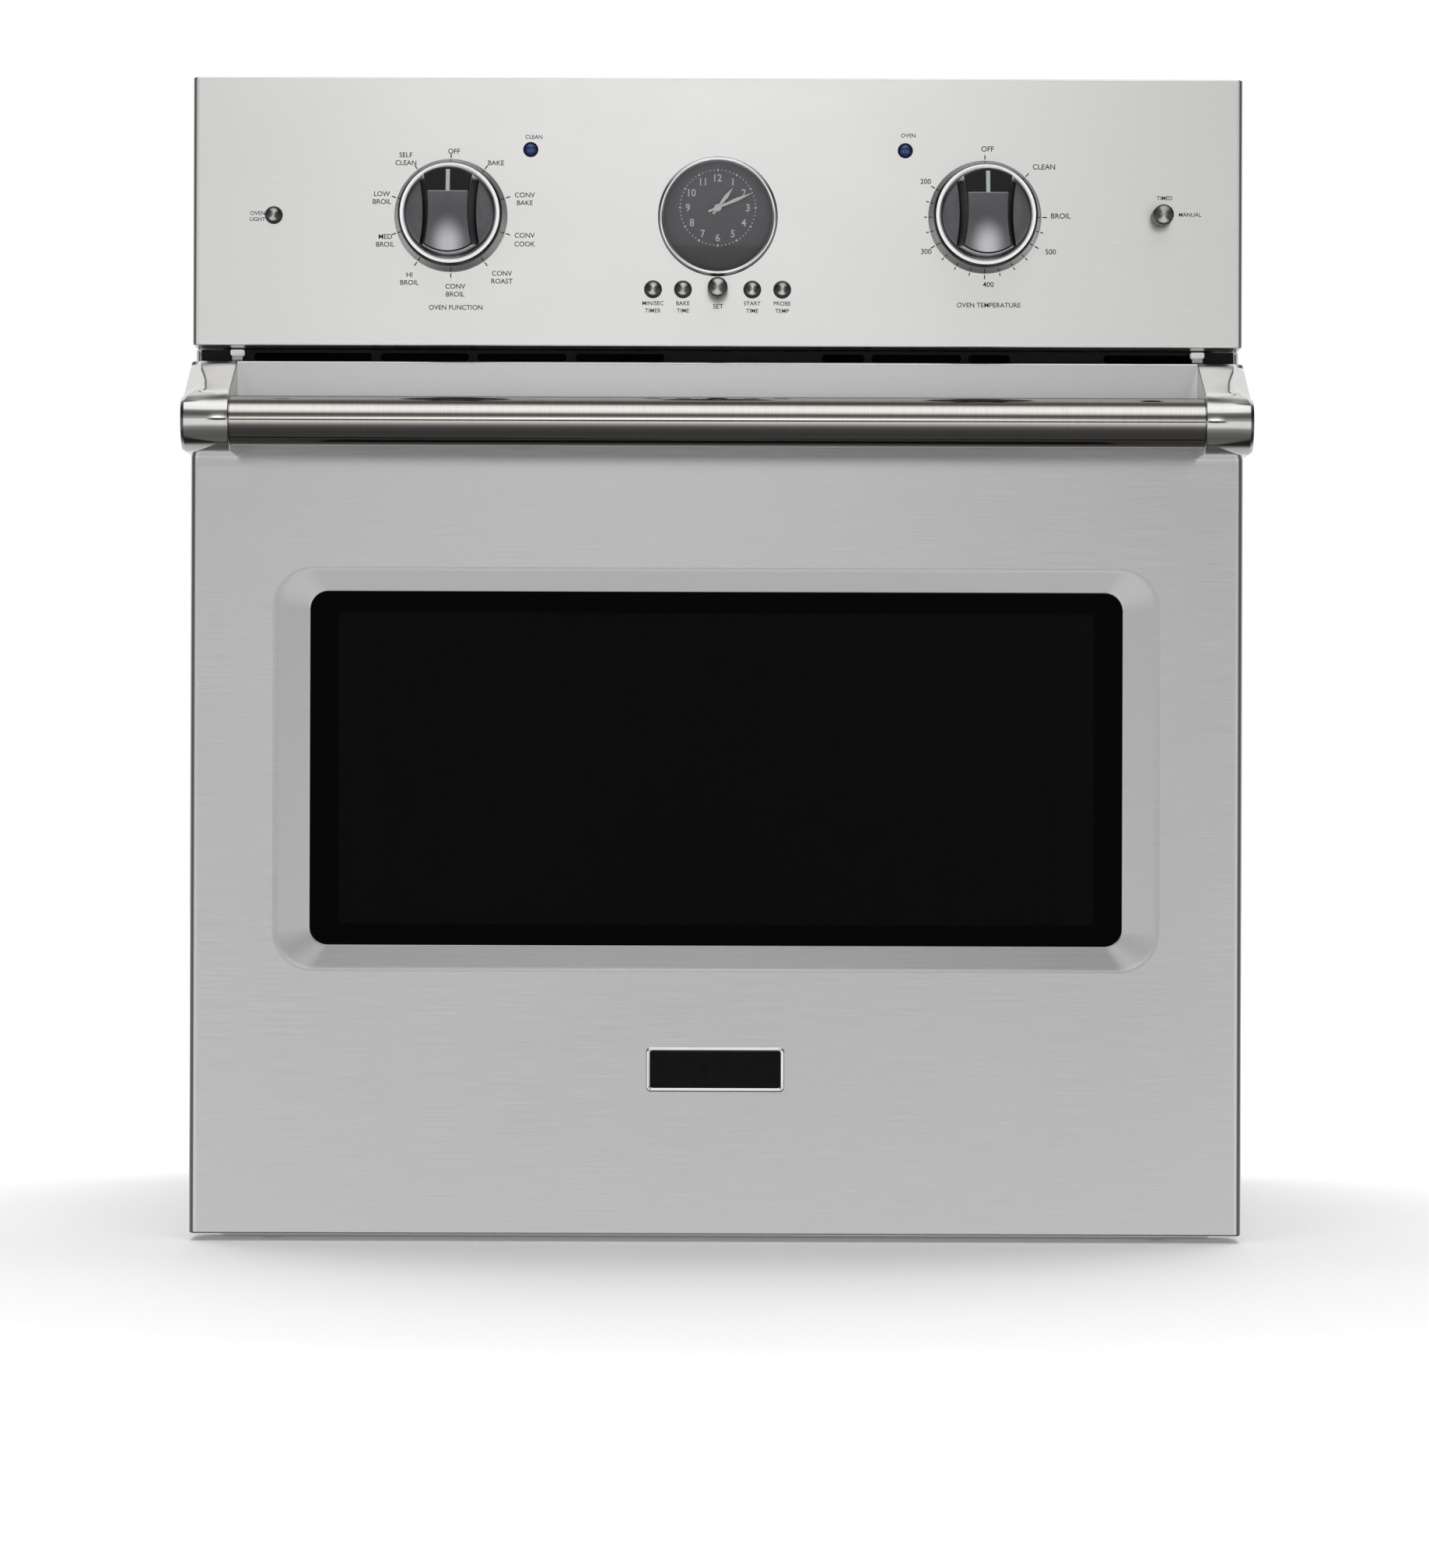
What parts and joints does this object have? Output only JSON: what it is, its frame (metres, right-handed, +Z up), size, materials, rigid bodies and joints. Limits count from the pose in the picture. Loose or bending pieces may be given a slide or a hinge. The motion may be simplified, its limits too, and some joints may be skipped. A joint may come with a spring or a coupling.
{
  "type": "wall oven",
  "caption": "Built-in electric wall oven: steel control panel with knobs, clock and buttons over a drop-down door with dark window and round bar handle.",
  "frame": {"origin": "middle of the chassis base, in the plane of the cabinet face where the side trims land", "axes": "+X to the user's right seen from the front, +Y into the cabinet (the front faces -Y), +Z up"},
  "size_m": [0.673, 0.7112, 0.7446],
  "materials": {
    "brushed_steel": "brushed stainless, fine horizontal grain",
    "polished_steel": "satin polished metal",
    "dark_chrome": "dark chromed die-cast",
    "galvanised": "zinc-coated sheet",
    "trim_steel": "stainless strip",
    "enamel": "speckled porcelain enamel",
    "rack_wire": "plated wire",
    "element_tube": "dark oxidised sheath",
    "hinge_steel": "plated hinge steel",
    "screws": "plated screws",
    "wool": "glass wool",
    "gasket": "braided glass-fibre gasket",
    "black_metal": "black painted sheet",
    "outer_glass": "dark patterned glass",
    "clear_glass": "clear glass",
    "lens_blue": "dark blue lens",
    "dial_face": "dark printed dial",
    "hands": "light pointers",
    "black_plastic": "black plastic",
    "motor": "motor can",
    "fan_metal": "stamped wheel",
    "board": "circuit board"
  },
  "bodies": {
    "root": {"base_pan": "galvanised", "outer_wrapper": "galvanised", "rear_panel": "galvanised", "front_frame": "enamel", "side_trims": "trim_steel", "oven_liner": "enamel", "insulation_wrap": "wool", "rack_ladders": "rack_wire", "broil_element": "element_tube", "bake_element": "element_tube", "convection_element": "element_tube", "fan_baffle": "enamel", "convection_motor": "motor", "oven_lamps": "clear_glass", "temperature_sensor": "black_plastic", "probe_socket": "black_plastic", "door_gasket": "gasket", "compartment_floor": "galvanised", "vent_grille": "black_metal", "blower_housing": "galvanised", "junction_box": "galvanised", "chassis_screws": "screws", "control_panel": "brushed_steel", "knob_bezels": "dark_chrome", "clock_bezel": "polished_steel", "clock_lens": "clear_glass", "clock_dial": "dial_face", "clock_housing": "black_plastic", "indicator_lenses": "lens_blue", "control_boards": "board", "rotary_switches": "black_plastic", "hinge_claws": "hinge_steel", "hinge_receivers": "galvanised"},
    "door": {"door_skin": "brushed_steel", "door_outer_glass": "outer_glass", "door_inner_glass": "clear_glass", "door_inner_panel": "enamel", "door_insulation": "wool", "handle_bar": "polished_steel", "handle_brackets": "polished_steel", "badge_plate": "polished_steel", "door_screws": "screws", "hinge_bodies": "hinge_steel"},
    "function_knob": {"function_knob": "dark_chrome"},
    "temperature_knob": {"temperature_knob": "dark_chrome"},
    "set_knob": {"set_knob": "polished_steel"},
    "mode_knob": {"mode_knob": "polished_steel"},
    "light_button": {"light_button": "polished_steel"},
    "minute_timer_button": {"minute_timer_button": "polished_steel"},
    "bake_time_button": {"bake_time_button": "polished_steel"},
    "start_time_button": {"start_time_button": "polished_steel"},
    "probe_temp_button": {"probe_temp_button": "polished_steel"},
    "hour_hand": {"hour_hand": "hands"},
    "minute_hand": {"minute_hand": "hands"},
    "convection_fan": {"convection_fan": "fan_metal"},
    "blower_wheel": {"blower_wheel": "fan_metal"},
    "rack_upper": {"rack_upper": "rack_wire"},
    "rack_middle": {"rack_middle": "rack_wire"},
    "rack_lower": {"rack_lower": "rack_wire"},
    "latch_hook": {"latch_hook": "hinge_steel"}
  },
  "joints": [
    {"name": "door_hinge", "type": "hinge", "parent": "root", "child": "door", "pos_m": [0, -0.016, 0.015], "axis": [1, 0, 0], "range_deg": [0, 90], "stiffness_Nm_per_rad": 18, "springref_deg": -20.05},
    {"name": "function_turn", "type": "hinge", "parent": "root", "child": "function_knob", "pos_m": [-0.171, -0.085, 0.656], "axis": [0, 1, 0], "range_deg": [0, 324]},
    {"name": "temperature_turn", "type": "hinge", "parent": "root", "child": "temperature_knob", "pos_m": [0.171, -0.085, 0.656], "axis": [0, -1, 0], "range_deg": [0, 315]},
    {"name": "mode_turn", "type": "hinge", "parent": "root", "child": "mode_knob", "pos_m": [0.284, -0.062, 0.656], "axis": [0, 1, 0], "range_deg": [0, 90]},
    {"name": "set_turn", "type": "hinge", "parent": "root", "child": "set_knob", "pos_m": [0, -0.061, 0.6092], "axis": [0, 1, 0], "continuous": true},
    {"name": "minute_turn", "type": "hinge", "parent": "root", "child": "minute_hand", "pos_m": [0, -0.0384, 0.662], "axis": [0, 1, 0], "continuous": true},
    {"name": "hour_turn", "type": "hinge", "parent": "root", "child": "hour_hand", "pos_m": [0, -0.0374, 0.662], "axis": [0, 1, 0], "continuous": true},
    {"name": "fan_spin", "type": "hinge", "parent": "root", "child": "convection_fan", "pos_m": [0, 0.446, 0.31], "axis": [0, 1, 0], "continuous": true},
    {"name": "blower_spin", "type": "hinge", "parent": "root", "child": "blower_wheel", "pos_m": [0, 0.4, 0.6], "axis": [0, 0, 1], "continuous": true},
    {"name": "latch_swing", "type": "hinge", "parent": "root", "child": "latch_hook", "pos_m": [0, 0.03, 0.545], "axis": [0, 0, -1], "range_deg": [0, 80]},
    {"name": "light_press", "type": "slide", "parent": "root", "child": "light_button", "axis": [0, 1, 0], "range_m": [0, 0.003], "stiffness_N_per_m": 300, "springref_m": -0.002},
    {"name": "minute_timer_press", "type": "slide", "parent": "root", "child": "minute_timer_button", "axis": [0, 1, 0], "range_m": [0, 0.003], "stiffness_N_per_m": 300, "springref_m": -0.002},
    {"name": "bake_time_press", "type": "slide", "parent": "root", "child": "bake_time_button", "axis": [0, 1, 0], "range_m": [0, 0.003], "stiffness_N_per_m": 300, "springref_m": -0.002},
    {"name": "start_time_press", "type": "slide", "parent": "root", "child": "start_time_button", "axis": [0, 1, 0], "range_m": [0, 0.003], "stiffness_N_per_m": 300, "springref_m": -0.002},
    {"name": "probe_temp_press", "type": "slide", "parent": "root", "child": "probe_temp_button", "axis": [0, 1, 0], "range_m": [0, 0.003], "stiffness_N_per_m": 300, "springref_m": -0.002},
    {"name": "rack_upper_slide", "type": "slide", "parent": "root", "child": "rack_upper", "axis": [0, -1, 0], "range_m": [0, 0.022]},
    {"name": "rack_middle_slide", "type": "slide", "parent": "root", "child": "rack_middle", "axis": [0, -1, 0], "range_m": [0, 0.022]},
    {"name": "rack_lower_slide", "type": "slide", "parent": "root", "child": "rack_lower", "axis": [0, -1, 0], "range_m": [0, 0.022]}
  ],
  "couplings": [
    {"joint": "hour_turn", "follows": "minute_turn", "ratio": 0.083333}
  ]
}
